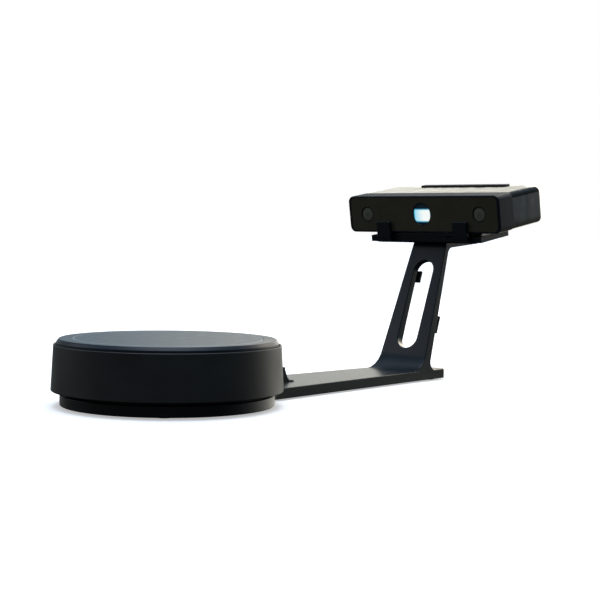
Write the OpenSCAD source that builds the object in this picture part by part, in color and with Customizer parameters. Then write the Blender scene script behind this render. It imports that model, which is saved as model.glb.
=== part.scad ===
// Desktop scanner: a motor-driven turntable on a cast stand, with a scan head held in a cradle above it.
// Millimetres. The origin is on the table, midway along the object. +X runs from the turntable
// to the head, +Z is up, and Y = 0 is the plane of symmetry.

/* [Overall] */
// Length from the turntable's front to the back of the head
overall_l = 570; // [560:1:600]
// How far the rubber feet stand out below the stand
foot_h = 1.5; // [1:0.1:3]

/* [Stand] */
// Radius of the round tray under the turntable
tray_r = 97; // [95:0.5:99]
// Thickness of the tray and the arm
arm_t = 10.1; // [9:0.1:12]
// Half width of the arm where it leaves the tray
arm_root_w = 48.5; // [40:0.5:52]
// Half width of the arm where the upright stands
arm_end_w = 31.6; // [29:0.1:34]
// Distance from the turntable's axis to the heel's end
heel_reach = 384.4; // [380:0.1:390]
// Lean of the upright's front face from vertical, in degrees
lean = 20.5; // [18:0.1:22]
// Half width of the upright at its foot
upright_foot_w = 31.6; // [29:0.1:33]
// Half width of the upright at its top
upright_top_w = 22.5; // [20:0.1:26]
// Half width of the slot in the upright
slot_w = 12.9; // [10:0.1:16]
// Height of the slot's lower round end above the arm, along the upright
slot_low = 37.4; // [34:0.1:45]
// Distance between the centres of the slot's round ends
slot_l = 75.4; // [50:0.1:76]

/* [Turntable] */
// Radius of the cover at its lower edge
cover_r = 105; // [103:0.5:107]
// Radius of the cover at its upper edge
cover_top_r = 102.8; // [102:0.1:104]
// Gap between the tray and the cover
cover_gap = 3.2; // [2:0.1:5]
// Height of the cover
cover_h = 41.5; // [40:0.1:44]
// Height of the platter's top above the cover
platter_rise = 5; // [3:0.1:7]
// Radius of the disc let into the platter
mat_r = 86; // [70:0.5:90]
// Teeth on the large gear under the platter
gear_teeth = 80; // [80]
// Teeth on the motor's pinion
pinion_teeth = 12; // [12]
// Gear module, pitch diameter divided by teeth
gear_module = 1.5; // [1.5]

/* [Scan head] */
// Width of the head
head_w = 205.6; // [200:0.2:208]
// Height of the head
head_h = 40.9; // [40:0.1:43]
// Depth of the head without its rear cowl
head_d = 86.6; // [84:0.1:90]
// Nose-down tilt of the head, in degrees
head_tilt = 9.4; // [6:0.1:12]
// Height of the middle of the front face above the table
head_z = 179.5; // [178:0.1:182]
// Depth of the matt bezel
bezel_d = 26; // [24:0.5:28]
// Distance from the middle of the head to each camera
camera_y = 76.3; // [70:0.1:80]
// Half width of the raised rear cowl
cowl_w = 58.5; // [55:0.5:64]

/* [Hidden] */
$fn = 96;

black_cast = "#23292e";
black_plastic = "#1d2022";
black_gloss = "#101112";
rubber_grey = "#2b2b2b";
steel = "#b4b7ba";
brass = "#b99a54";
board_green = "#1f5a3c";
clear_glass = "#8fb4c8";
slip = 0.02;          // radial clearance of parts that fit together
skin_gap = 0.3;       // gap between parts that move past each other

axis_x = cover_r - overall_l / 2;
arm_top = foot_h + arm_t;
cover_z = arm_top + cover_gap;
cover_top = cover_z + cover_h;
platter_top = cover_top + platter_rise;

// Tray and base pan
tray_floor = 3.5;
tray_floor_z = foot_h + tray_floor;
pocket_r = 90;
pan_r = pocket_r - skin_gap;
pan_floor = 3;
pan_wall = 3;
pan_floor_z = tray_floor_z + pan_floor;
pan_collar_r = 12.3;
post_r = 78;
tray_screw_r = 66;

// Arm and heel
flare_r = 24;
foot_corner_x = 340.5;
arm_line_x = 100;
arm_line_a = -atan((arm_root_w - arm_end_w) / (foot_corner_x - arm_line_x));
heel_round = 5;
heel_w = 30.3;

// Upright, in the plane of symmetry: x from the turntable's axis, z from the table
rise = 90 - lean;
foot_fillet = 26;
upright_t = 11;
back_lean = 18.6;
back_rise = 90 - back_lean;
back_corner_x = foot_corner_x + upright_t / cos(lean) + 0.4;
heel_fillet = 8;
tongue_end_x = 452;
tongue_end_z = 148;
tongue_slope = 5.1;
tongue_fillet = 9;

// Cover, deck and drive
cover_wall = 2.4;
deck_z = 44;
deck_t = 2.5;
platter_r = 100.2;
platter_lip = 2;
platter_t = 3;
mat_t = 1;
hub_r = 18;
bearing_r = 15;
bearing_h = 6;
bearing_low = 30;
bearing_high = 42;
spindle_r = 6;
ball_r = 1.9;
ball_ring_r = 10.5;
ball_count = 12;
gear_z = 49;
gear_h = 5;
gear_r = gear_teeth * gear_module / 2;
pinion_r = pinion_teeth * gear_module / 2;
motor_x = -(gear_r + pinion_r);
motor_w = 35;
motor_low = 18;
motor_screw_pitch = 26;
shaft_r = 2.5;
m3_r = 1.5;
m3_head_r = 2.8;

// Scan head, in its own frame: x backwards from the middle of the front face, z up, both tilted
head_round = 7;
shell_step = 0.3;
shell_wall = 2.5;
shell_round = 9;
cowl_back = 88.8;
cowl_low = -14;
cowl_high = 21.6;
cowl_lip_x = 81;
head_x = overall_l / 2 - cowl_back * cos(head_tilt) + cowl_low * sin(head_tilt);
window_edge = 3.4;
bezel_opening_w = 180;
window_t = 2.5;
camera_r = 8.5;
projector_r = 12.4;
optics_x = 12;
barrel_front = 0.2;
lens_front = 1;
lens_back = 5;
fan_x = 72;
fan_w = 30;
fan_d = 8;
fan_bore = 13.8;
button_y = -42;
button_r = 5;
socket_z = -4.5;
board_z = socket_z - 5.3 - 1.6;
data_y = 34;
link_y = 47.5;
power_y = -24;

// Cable clips: places [y, height along the upright] of the upper and the lower one
clip_places = [[20.6, 110], [-23.2, 56]];
clip_foot = 7.5;
clip_t = 2;
clip_screw_y = 1.6;

// Housing of the turntable's cable socket
socket_w = 12;
socket_h = 10.5;
socket_low = arm_top + 1.8;
socket_hole_w = 8.6;
socket_hole_h = 7.8;

// Screws inside the head
tab_places = [-85, -32, 32, 85];
optics_places = [[-94, -9], [-94, 9], [94, -9], [94, 9]];
cowl_screw_places = [[-55.5, -8], [-55.5, 8], [55.5, -8], [55.5, 8]];

// Cradle, in the head's frame
plate_low = -31.2;
plate_high = -24.2;
plate_w = 75;
plate_front = 2;
plate_back = 58;
hook_y = 52;
hook_w = 18.5;
hook_front = -4.3;
hook_top = -7.7;
pad_top = -head_h / 2 - 0.2;
rib_t = 3;
rib_top = pad_top - 0.3;

function arc(c, r, a0, a1, n = 12) =
    [for (i = [0:n]) c + r * [cos(a0 + (a1 - a0) * i / n), sin(a0 + (a1 - a0) * i / n)]];

// Arc that rounds the corner p between edges that leave it at angles a1 and a2, with a2 above a1
function corner_arc(p, a1, a2, r, n = 12) =
    let (half = (a2 - a1) / 2, m = (a1 + a2) / 2)
    arc(p + r / sin(half) * [cos(m), sin(m)], r, a1 - 90, a2 - 270, n);

function backwards(v) = [for (i = [len(v) - 1:-1:0]) v[i]];
function mirrored_y(v) = [for (p = backwards(v)) [p[0], -p[1]]];

// Point where the line through p at angle a meets the line through q at angle b
function meet(p, a, q, b) =
    let (w = q - p, t = (w[0] * sin(b) - w[1] * cos(b)) / sin(b - a))
    p + t * [cos(a), sin(a)];

module at_axis() { translate([axis_x, 0, 0]) children(); }

module at_head() { translate([head_x, 0, head_z]) rotate([0, -head_tilt, 0]) children(); }

module ring_of(n, r, first = 0) {
    for (i = [0:n - 1]) rotate([0, 0, first + i * 360 / n]) translate([r, 0, 0]) children();
}

// Rectangle with round corners, centred
module round_rect(w, h, r) {
    square([w - 2 * r, h], center = true);
    square([w, h - 2 * r], center = true);
    for (sx = [-1, 1], sy = [-1, 1]) translate([sx * (w / 2 - r), sy * (h / 2 - r)]) circle(r);
}

// Extrusion along +X of an outline whose width lies on Y and whose height lies on Z
module along_x(x0, x1) {
    translate([x0, 0, 0]) rotate([90, 0, 90]) linear_extrude(x1 - x0) children();
}

// Extrusion across Y, centred, of an outline drawn in X and Z
module across_y(w) { translate([0, w / 2, 0]) rotate([90, 0, 0]) linear_extrude(w) children(); }

module cyl_x(x0, x1, r) { translate([x0, 0, 0]) rotate([0, 90, 0]) cylinder(h = x1 - x0, r = r); }

module tube(z0, z1, r_out, r_in) {
    translate([0, 0, z0]) difference() {
        cylinder(h = z1 - z0, r = r_out);
        translate([0, 0, -1]) cylinder(h = z1 - z0 + 2, r = r_in);
    }
}

// Flat-headed screw with its head at the bottom: the shank rises from z0
module screw(z0, length, head_h = 1.8) {
    translate([0, 0, z0]) {
        difference() {
            cylinder(h = head_h, r = m3_head_r);
            translate([0, 0, -1]) cylinder(h = 2, r = 1.4, $fn = 6);
        }
        cylinder(h = length, r = m3_r);
    }
}

module screw_hole(z0, length, head_h = 1.8) {
    translate([0, 0, z0 - 5]) cylinder(h = head_h + 5 + slip, r = m3_head_r + 0.2);
    translate([0, 0, z0]) cylinder(h = length + 1, r = m3_r + slip);
}

// Outline of a spur gear with straight-sided teeth and some backlash
module gear_outline(teeth, turn = 0) {
    r = teeth * gear_module / 2;
    tip = r + 0.9 * gear_module;
    root = r - 1.25 * gear_module;
    pitch = 360 / teeth;
    polygon([for (i = [0:teeth - 1], k = [[root, -0.31], [tip, -0.11], [tip, 0.11], [root, 0.31]])
        k[0] * [cos(turn + (i + k[1]) * pitch), sin(turn + (i + k[1]) * pitch)]]);
}

// ---- Stand ----

module arm_outline() {
    slope = arm_line_a;
    root = [arm_line_x, arm_root_w];
    flare_c = meet(root + flare_r * [-sin(slope), cos(slope)], slope, [0, 0], 34.9);
    flare_k = (tray_r + flare_r) / norm(flare_c);
    centre = flare_c * flare_k;
    edge = concat(
        [[40, 40]],
        arc(centre, flare_r, atan2(centre[1], centre[0]) + 180, slope + 270),
        [[foot_corner_x, arm_end_w]],
        arc([heel_reach - heel_round, heel_w - heel_round], heel_round, 90, 0, 8));
    polygon(concat(edge, mirrored_y(edge)));
}

module upright_outline() {
    front = [foot_corner_x, arm_top];
    under_plate = plate_low - slip;
    plate_edge = [head_x - axis_x - under_plate * sin(head_tilt), head_z + under_plate * cos(head_tilt)];
    top_front = meet(front, rise, plate_edge, head_tilt);
    top_back = meet([tongue_end_x, 0], 90, plate_edge, head_tilt);
    tongue_end = [tongue_end_x, tongue_end_z];
    back_foot = [back_corner_x, arm_top];
    polygon(concat(
        [[foot_corner_x - 20, arm_top - 4]],
        backwards(corner_arc(front, rise, 180, foot_fillet)),
        [top_front, top_back, tongue_end],
        backwards(corner_arc(meet(back_foot, back_rise, tongue_end, tongue_slope),
            back_rise - 180, tongue_slope, tongue_fillet)),
        backwards(corner_arc(back_foot, 0, back_rise, heel_fillet)),
        [[heel_reach - 12, arm_top - 4]]));
}

// Places things on the upright's front face: x along the inward normal, z up along the face
module on_upright() { translate([foot_corner_x, 0, arm_top]) rotate([0, lean, 0]) children(); }

module upright_slot() {
    on_upright() along_x(-20, 30) union() {
        translate([-slot_w, slot_low]) square([2 * slot_w, slot_l]);
        for (s = [0, slot_l]) translate([0, slot_low + s]) circle(slot_w);
    }
}

module stand() {
    top_w = upright_top_w;
    color(black_cast) at_axis() difference() {
        union() {
            translate([0, 0, foot_h]) cylinder(h = arm_t, r = tray_r);
            translate([0, 0, foot_h]) linear_extrude(arm_t) arm_outline();
            intersection() {
                across_y(80) upright_outline();
                along_x(300, 470) polygon([[-upright_foot_w, 0], [upright_foot_w, 0],
                    [upright_foot_w, arm_top], [top_w, 149], [top_w, 200], [-top_w, 200],
                    [-top_w, 149], [-upright_foot_w, arm_top]]);
            }
        }
        translate([0, 0, tray_floor_z]) cylinder(h = arm_t, r = pocket_r);
        ring_of(4, tray_screw_r) screw_hole(foot_h + 0.4, 20);
        upright_slot();
        for (y = [-11, 11]) translate([head_x - axis_x, y, head_z]) rotate([0, -head_tilt, 0])
            translate([46, 0, 0]) cradle_screw_hole();
        for (place = clip_places) at_clip(place) translate([0, clip_screw_y, 0]) cyl_x(-6, 1, 1 + slip);
    }
}

module feet() {
    color(rubber_grey) at_axis() {
        ring_of(4, 80, 45) cylinder(h = foot_h, r = 7);
        for (y = [-18, 18]) translate([heel_reach - 16, y, 0]) cylinder(h = foot_h, r = 6);
    }
}

// ---- Turntable ----

module base_pan() {
    color(black_plastic) at_axis() difference() {
        union() {
            translate([0, 0, tray_floor_z]) cylinder(h = pan_floor, r = pan_r);
            tube(tray_floor_z, cover_z + 1.2, pan_r, pan_r - pan_wall);
            tube(pan_floor_z - 0.5, pan_floor_z + 6, 16, pan_collar_r);
            for (x = [22, 72], y = [-26, 26]) translate([x, y, pan_floor_z - 0.5]) cylinder(h = 6.5, r = 3);
            ring_of(4, tray_screw_r) translate([0, 0, pan_floor_z - 0.5]) cylinder(h = 6, r = 4.5);
        }
        ring_of(4, post_r, 45) screw_hole(tray_floor_z, 20);
        ring_of(4, tray_screw_r) translate([0, 0, 0]) cylinder(h = 12, r = m3_r + slip);
        for (x = [22, 72], y = [-26, 26]) translate([x, y, pan_floor_z + 0.5]) cylinder(h = 8, r = 1 + slip);
    }
}

module tray_screws() { color(steel) at_axis() ring_of(4, tray_screw_r) screw(foot_h + 0.4, 10); }

module cover() {
    outer = [[cover_r, cover_z], [cover_top_r, cover_top]];
    color(black_plastic) at_axis() difference() {
        union() {
            rotate_extrude($fn = 180) polygon([outer[0], outer[1], outer[1] - [1.8, 0],
                [cover_top_r - cover_wall, deck_z + 2], [cover_top_r - cover_wall, deck_z],
                outer[0] - [cover_wall, 0]]);
            tube(deck_z, deck_z + deck_t, cover_top_r - 1, hub_r + 2);
            ring_of(4, post_r, 45) translate([0, 0, pan_floor_z]) cylinder(h = deck_z - pan_floor_z + 1, r = 4);
        }
        ring_of(4, post_r, 45) translate([0, 0, tray_floor_z]) cylinder(h = 15, r = m3_r + slip);
        translate([motor_x, 0, deck_z - 1]) cylinder(h = 10, r = 11.2);
        at_motor_screws() translate([0, 0, deck_z - 1]) cylinder(h = 10, r = m3_r + slip);
    }
}

module cover_screws() { color(steel) at_axis() ring_of(4, post_r, 45) screw(tray_floor_z, 12); }

module platter() {
    recess = platter_top - mat_t;
    under = platter_top - platter_t - mat_t;
    color("#2a3138") at_axis() difference() {
        union() {
            rotate_extrude($fn = 180) polygon([[0, under], [platter_r - 4, under], [platter_r - 4, under - 4],
                [platter_r, under - 4], [platter_r, platter_top - 3], [platter_r - platter_lip, platter_top],
                [mat_r + 0.5, platter_top], [mat_r + 0.5, recess], [0, recess]]);
            tube(bearing_low, under + 0.5, hub_r, bearing_r - 1.5);
            ring_of(4, 30, 45) translate([0, 0, gear_z + gear_h]) cylinder(h = under - gear_z - gear_h + 0.5, r = 4);
        }
        for (z = [bearing_low, bearing_high]) translate([0, 0, z - (z == bearing_low ? 1 : 0)])
            cylinder(h = bearing_h + (z == bearing_low ? 1 : 0), r = bearing_r + slip);
        translate([0, 0, bearing_high]) cylinder(h = under - bearing_high - 1, r = bearing_r + slip);
        ring_of(4, 30, 45) translate([0, 0, gear_z]) cylinder(h = 8, r = m3_r + slip);
    }
}

module platter_mat() {
    color("#343c43") at_axis() translate([0, 0, platter_top - mat_t]) cylinder(h = mat_t, r = mat_r, $fn = 180);
}

module drive_gear() {
    color("#e6e2d6") at_axis() difference() {
        translate([0, 0, gear_z]) linear_extrude(gear_h) gear_outline(gear_teeth);
        translate([0, 0, gear_z - 1]) cylinder(h = gear_h + 2, r = hub_r + slip);
        ring_of(6, 42) translate([0, 0, gear_z - 1]) cylinder(h = gear_h + 2, r = 9);
        ring_of(4, 30, 45) screw_hole(gear_z + 0.1, 12);
    }
}

module gear_screws() { color(steel) at_axis() ring_of(4, 30, 45) screw(gear_z + 0.1, 7.5); }

module spindle() {
    color(steel) at_axis() {
        translate([0, 0, pan_floor_z]) cylinder(h = 8, r = 12);
        translate([0, 0, pan_floor_z]) cylinder(h = bearing_low - pan_floor_z, r = 8);
        difference() {
            translate([0, 0, pan_floor_z]) cylinder(h = 43, r = spindle_r);
            tube(bearing_high + bearing_h, bearing_high + bearing_h + 1.2, 10, spindle_r - 0.6);
        }
    }
}

module bearing_inner_races() {
    color(steel) at_axis() for (z = [bearing_low, bearing_high]) translate([0, 0, z]) difference() {
        tube(0, bearing_h, 8.9, spindle_r + slip);
        translate([0, 0, bearing_h / 2]) rotate_extrude() translate([ball_ring_r, 0]) circle(ball_r + 0.1);
    }
}

module bearing_outer_races() {
    color(steel) at_axis() for (z = [bearing_low, bearing_high]) translate([0, 0, z]) difference() {
        tube(0, bearing_h, bearing_r, 12.1);
        translate([0, 0, bearing_h / 2]) rotate_extrude() translate([ball_ring_r, 0]) circle(ball_r + 0.1);
    }
}

module bearing_balls() {
    color("#d8dadc") at_axis() for (z = [bearing_low, bearing_high])
        ring_of(ball_count, ball_ring_r) translate([0, 0, z + bearing_h / 2]) sphere(ball_r, $fn = 32);
}

module retaining_ring() {
    color(steel) at_axis() difference() {
        tube(bearing_high + bearing_h + 0.1, bearing_high + bearing_h + 1.1, 8.2, spindle_r - 0.6 + slip);
        translate([4, -1.5, bearing_high]) cube([10, 3, 20]);
    }
}

module glide_pads() {
    pad_h = platter_top - platter_t - mat_t - skin_gap - deck_z - deck_t;
    color("#d9d6cc") at_axis() ring_of(4, 90) translate([0, 0, deck_z + deck_t]) cylinder(h = pad_h, r = 3.5);
}

module at_motor_screws() {
    half = motor_screw_pitch / 2;
    for (sx = [-1, 1], sy = [-1, 1]) translate([motor_x + sx * half, sy * half, 0]) children();
}

module motor_body() {
    h = motor_w / 2;
    c = 4;
    color("#3a3c3e") at_axis() difference() {
        translate([motor_x, 0, 0]) {
            translate([0, 0, motor_low]) linear_extrude(deck_z - motor_low) polygon([[h, c - h], [h, h - c],
                [h - c, h], [c - h, h], [-h, h - c], [-h, c - h], [c - h, -h], [h - c, -h]]);
            translate([0, 0, deck_z - 0.5]) cylinder(h = 2, r = 11);
        }
        translate([motor_x, 0, motor_low + 4]) cylinder(h = 40, r = shaft_r + 0.05);
        at_motor_screws() translate([0, 0, deck_z - 5]) cylinder(h = 10, r = m3_r + slip);
    }
}

module motor_shaft() {
    color(steel) at_axis() translate([motor_x, 0, motor_low + 5]) cylinder(h = gear_z + gear_h - motor_low - 4, r = shaft_r);
}

module pinion() {
    color(brass) at_axis() translate([motor_x, 0, gear_z - 1]) difference() {
        linear_extrude(gear_h + 1.5) gear_outline(pinion_teeth, 180 / pinion_teeth);
        translate([0, 0, -1]) cylinder(h = gear_h + 4, r = shaft_r + slip);
    }
}

module motor_screws() {
    color(steel) at_axis() at_motor_screws() translate([0, 0, deck_z + deck_t]) {
        cylinder(h = 1.4, r = m3_head_r);
        translate([0, 0, -6.5]) cylinder(h = 7, r = m3_r);
    }
}

module turntable_board() {
    z = pan_floor_z + 6;
    color(board_green) at_axis() difference() {
        union() {
            translate([18, -30, z]) cube([58, 60, 1.6]);
            translate([30, -8, z + 1.5]) cube([14, 14, 2]);
            translate([52, 10, z + 1.5]) cube([8, 6, 3]);
            for (y = [-20, -14, 14]) translate([66, y, z + 1.5]) cylinder(h = 8, r = 2.6);
        }
        for (x = [22, 72], y = [-26, 26]) translate([x, y, z - 1]) cylinder(h = 4, r = 1 + slip);
    }
}

module board_screws() {
    z = pan_floor_z + 7.6;
    color(steel) at_axis() for (x = [22, 72], y = [-26, 26]) translate([x, y, z]) {
        cylinder(h = 1.2, r = 2);
        translate([0, 0, -6]) cylinder(h = 6.5, r = 1);
    }
}

// ---- Housing of the turntable's cable socket, on the arm behind the cover ----

module socket_housing() {
    color(black_plastic) at_axis() difference() {
        across_y(18) polygon([[cover_r + 1, arm_top], [160, arm_top], [160, arm_top + 1.2], [153.5, arm_top + 1.6],
            [150.5, arm_top + 5], [147.5, arm_top + 12], [147, arm_top + 14.8], [144.5, arm_top + 14.8],
            [143.5, arm_top + 14], [cover_r + 1, arm_top + 14]]);
        translate([cover_r, -socket_w / 2 - slip, socket_low - slip])
            cube([36, socket_w + 2 * slip, socket_h + 2 * slip]);
        translate([130, -socket_hole_w / 2, socket_low + (socket_h - socket_hole_h) / 2])
            cube([40, socket_hole_w, socket_hole_h]);
    }
}

module turntable_socket() {
    color(steel) at_axis() difference() {
        translate([126, -socket_w / 2, socket_low]) cube([15, socket_w, socket_h]);
        translate([130, -socket_hole_w / 2, socket_low + (socket_h - socket_hole_h) / 2])
            cube([20, socket_hole_w, socket_hole_h]);
    }
}

// ---- Cable clips on the back of the upright ----

// Distance from the upright's front face to its back face at height s along it
function upright_back(s) =
    let (corner = (back_corner_x - foot_corner_x) * [cos(lean), sin(lean)])
    corner[0] - tan(lean - back_lean) * (s - corner[1]);

module at_clip(place) {
    on_upright() translate([upright_back(place[1]) + slip, place[0], place[1]])
        rotate([0, -(lean - back_lean), 0]) children();
}

// A flat foot against the upright's back, a wall, and an outer finger that keeps a cable in
module clip(place, height, depth, finger) {
    at_clip(place) translate([0, -clip_foot / 2, -height / 2]) difference() {
        union() {
            cube([clip_t, clip_foot, height]);
            cube([depth, clip_t, height]);
            translate([depth - clip_t, -finger, 0]) cube([clip_t, finger + 0.1, height]);
        }
        translate([0, clip_foot / 2 + clip_screw_y, height / 2]) cyl_x(-1, 5, 1 + slip);
    }
}

module upper_cable_clip() { color(black_plastic) at_axis() clip(clip_places[0], 13, 6.5, 5.5); }

module lower_cable_clip() { color(black_plastic) at_axis() clip(clip_places[1], 19, 4.4, 0.6); }

module clip_screws() {
    color(steel) at_axis() for (place = clip_places) at_clip(place) translate([0, clip_screw_y, 0]) {
        cyl_x(clip_t, clip_t + 1.2, 2);
        cyl_x(clip_t - 7, clip_t + 0.5, 1);
    }
}

// ---- Cradle ----

module cradle_screw_hole() {
    translate([0, 0, plate_low - 30]) cylinder(h = 24, r = 4.2);
    translate([0, 0, plate_low - 10]) cylinder(h = 15, r = 2 + slip);
}

module cradle() {
    color(black_cast) at_head() difference() {
        union() {
            translate([plate_front, -plate_w, plate_low]) cube([plate_back - plate_front, 2 * plate_w,
                plate_high - plate_low]);
            translate([plate_front, -hook_y, plate_high - 1]) cube([rib_t, 2 * hook_y, rib_top - plate_high + 1]);
            for (s = [-1, 1]) translate([0, s * hook_y, 0]) across_y(hook_w) polygon([
                [plate_front + 8, plate_low], [plate_front, plate_low], [hook_front, plate_low + 4],
                [hook_front, hook_top], [-skin_gap, hook_top], [-skin_gap, plate_high],
                [plate_front + 8, plate_high]]);
        }
        for (y = [-11, 11]) translate([46, y, plate_low - 1]) cylinder(h = 6, r = 2 + slip);
        for (s = [-1, 1]) translate([plate_back - 22, s * 40, plate_low - 1]) cylinder(h = 20, r = 9);
    }
}

module cradle_pads() {
    color(rubber_grey) at_head() for (s = [-1, 1])
        translate([8, s * hook_y - 8, plate_high]) cube([18, 16, pad_top - plate_high]);
}

module cradle_screws() {
    color(steel) at_head() for (y = [-11, 11]) translate([46, y, plate_low - 6]) difference() {
        union() {
            translate([0, 0, -3]) cylinder(h = 3, r = 3.8);
            translate([0, 0, -1]) cylinder(h = 11, r = 2);
        }
        translate([0, 0, -4]) cylinder(h = 2.5, r = 1.7, $fn = 6);
    }
}

// ---- Scan head ----

module at_camera(side) { translate([0, side * camera_y, 0]) children(); }

module bezel() {
    inner_w = head_w - 2 * shell_wall;
    inner_h = head_h - 2 * shell_wall;
    color("#1a1e24") at_head() difference() {
        union() {
            difference() {
                along_x(0, bezel_d) round_rect(head_w, head_h, head_round);
                along_x(window_t + 2, bezel_d + 1) round_rect(inner_w, inner_h, head_round - shell_wall);
                along_x(-1, window_t) round_rect(head_w - 2 * window_edge + 0.1, head_h - window_edge + 0.1, 5.8);
                along_x(-1, window_t + 3) round_rect(bezel_opening_w, inner_h - 6, 3);
            }
            for (y = tab_places) translate([bezel_d - 8, y - 5, -inner_h / 2]) cube([19, 10, 4]);
            for (p = optics_places) translate([0, p[0], p[1]]) cyl_x(window_t + 1.5, optics_x, 3);
        }
        for (y = tab_places) translate([bezel_d + 6, y, -head_h]) cylinder(h = head_h, r = m3_r + slip);
        for (y = tab_places) translate([bezel_d, y - 6, -inner_h / 2 - 3]) cube([20, 12, 3 + shell_step]);
        for (p = optics_places) translate([0, p[0], p[1]]) cyl_x(window_t + 3, optics_x + 1, 1 + slip);
    }
}

module front_window() {
    color(black_gloss) at_head() along_x(0, window_t) difference() {
        round_rect(head_w - 2 * window_edge, head_h - window_edge, 5.75);
        for (s = [-1, 1]) translate([s * camera_y, 0]) circle(camera_r + 0.1);
        circle(projector_r + 0.1);
    }
}

// Solid with the shell's outer form, drawn smaller by the given margin
module shell_form(x0, margin) {
    w = head_w - 2 * shell_step - 2 * margin;
    h = head_h - 2 * shell_step - 2 * margin;
    d = head_d - margin;
    r = shell_round - margin;
    intersection() {
        along_x(x0, d) round_rect(w, h, head_round - margin);
        translate([0, 0, -h]) linear_extrude(2 * h) union() {
            translate([x0 - 1, -w / 2]) square([d - r - x0 + 1, w]);
            translate([x0, r - w / 2]) square([d - x0, w - 2 * r]);
            for (s = [-1, 1]) translate([d - r, s * (w / 2 - r)]) circle(r);
        }
    }
}

module shell_holes() {
    along_x(head_d - 6, head_d + 1) square([108, 22], center = true);
    for (y = tab_places) translate([bezel_d + 6, y, -head_h / 2 - 1]) {
        cylinder(h = 2.9, r = m3_head_r + 0.2);
        cylinder(h = 8, r = m3_r + slip);
    }
    for (p = cowl_screw_places) translate([0, p[0], p[1]]) cyl_x(head_d - 8, head_d + 2, 1 + slip);
}

module rear_shell() {
    inner = head_h / 2 - shell_step - shell_wall;
    color(black_gloss) at_head() difference() {
        union() {
            difference() {
                shell_form(bezel_d, 0);
                shell_form(bezel_d - 1, shell_wall);
            }
            for (x = [50, 74], y = [40, 88]) translate([x, y, -inner - 0.5])
                cylinder(h = board_z + inner + 0.5, r = 3);
        }
        shell_holes();
        for (x = [50, 74], y = [40, 88]) translate([x, y, -inner]) cylinder(h = 9, r = 1 + slip);
    }
}

module head_screws() {
    color(steel) at_head() for (y = tab_places) translate([bezel_d + 6, y, -head_h / 2 + shell_step + 0.1]) {
        difference() {
            cylinder(h = 1.4, r = m3_head_r);
            translate([0, 0, -1]) cylinder(h = 1.8, r = 1.4, $fn = 6);
        }
        cylinder(h = 6, r = m3_r);
    }
}

module cowl_cut(y, w, h) { along_x(head_d - 10, cowl_back + 5) translate([y, socket_z]) square([w, h], center = true); }

module rear_cowl() {
    lip_low = head_h / 2 - shell_step;
    color(black_plastic) at_head() difference() {
        across_y(2 * cowl_w) polygon([[head_d, cowl_low], [cowl_back, cowl_low], [cowl_back, cowl_high - 0.7],
            [cowl_back - 0.7, cowl_high], [cowl_lip_x + 0.7, cowl_high], [cowl_lip_x, cowl_high - 0.7],
            [cowl_lip_x, lip_low], [head_d, lip_low]]);
        cowl_cut(data_y, 12.4, 11);
        cowl_cut(link_y, 12.4, 11);
        translate([0, power_y, socket_z]) cyl_x(head_d - 10, cowl_back + 5, 5.2);
        translate([0, button_y, 0]) cyl_x(head_d - 10, cowl_back + 5, button_r + 0.35);
        for (z = [-8:4:12]) along_x(head_d - 5, cowl_back + 5) translate([0, z]) square([24, 2], center = true);
        for (p = cowl_screw_places) translate([0, p[0], p[1]]) cyl_x(head_d - 5, cowl_back + 5, 1 + slip);
    }
}

module cowl_screws() {
    color(steel) at_head() for (p = cowl_screw_places) translate([0, p[0], p[1]]) {
        cyl_x(cowl_back, cowl_back + 0.6, 1.9);
        cyl_x(cowl_back - 7, cowl_back + 0.1, 1);
    }
}

module optics_frame() {
    color("#9a9ea2") at_head() difference() {
        along_x(optics_x, optics_x + 3) round_rect(196, 32, 4);
        for (s = [-1, 1]) at_camera(s) cyl_x(optics_x - 1, optics_x + 5, camera_r - 1 + slip);
        cyl_x(optics_x - 1, optics_x + 5, projector_r - 0.9 + slip);
        for (p = optics_places) translate([0, p[0], p[1]]) cyl_x(optics_x - 1, optics_x + 5, 1 + slip);
        for (s = [-1, 1]) along_x(optics_x - 1, optics_x + 5) translate([s * 42, 0]) round_rect(30, 18, 3);
    }
}

module optics_screws() {
    color(steel) at_head() for (p = optics_places) translate([0, p[0], p[1]]) {
        cyl_x(optics_x + 3, optics_x + 4.4, 2.2);
        cyl_x(optics_x - 5, optics_x + 3.5, 1);
    }
}

module camera_barrel(side) {
    color(black_plastic) at_head() at_camera(side) difference() {
        union() {
            cyl_x(barrel_front, optics_x, camera_r);
            cyl_x(optics_x - 1, optics_x + 8, camera_r - 1);
        }
        cyl_x(-1, lens_back, camera_r - 1.8);
        cyl_x(-1, optics_x + 9, camera_r - 3.2);
    }
}

module camera_lens(side) {
    color(clear_glass) at_head() at_camera(side) cyl_x(lens_front, lens_back, camera_r - 1.8 - slip);
}

module camera_board(side) {
    color(board_green) at_head() at_camera(side) {
        along_x(optics_x + 8, optics_x + 9.6) square([26, 26], center = true);
        along_x(optics_x + 7.4, optics_x + 8.1) square([7, 7], center = true);
        along_x(optics_x + 9.5, optics_x + 12) translate([0, -6]) square([12, 5], center = true);
    }
}

module left_camera_barrel() { camera_barrel(1); }
module right_camera_barrel() { camera_barrel(-1); }
module left_camera_lens() { camera_lens(1); }
module right_camera_lens() { camera_lens(-1); }
module left_camera_board() { camera_board(1); }
module right_camera_board() { camera_board(-1); }

module projector_barrel() {
    color(black_plastic) at_head() difference() {
        union() {
            cyl_x(barrel_front, optics_x, projector_r);
            cyl_x(optics_x - 1, 28, projector_r - 0.9);
        }
        cyl_x(-1, lens_back + 1, projector_r - 1.6);
        cyl_x(-1, 30, projector_r - 4);
    }
}

module projector_lens() {
    color(clear_glass) at_head() cyl_x(lens_front, lens_back + 1, projector_r - 1.6 - slip);
}

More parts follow.
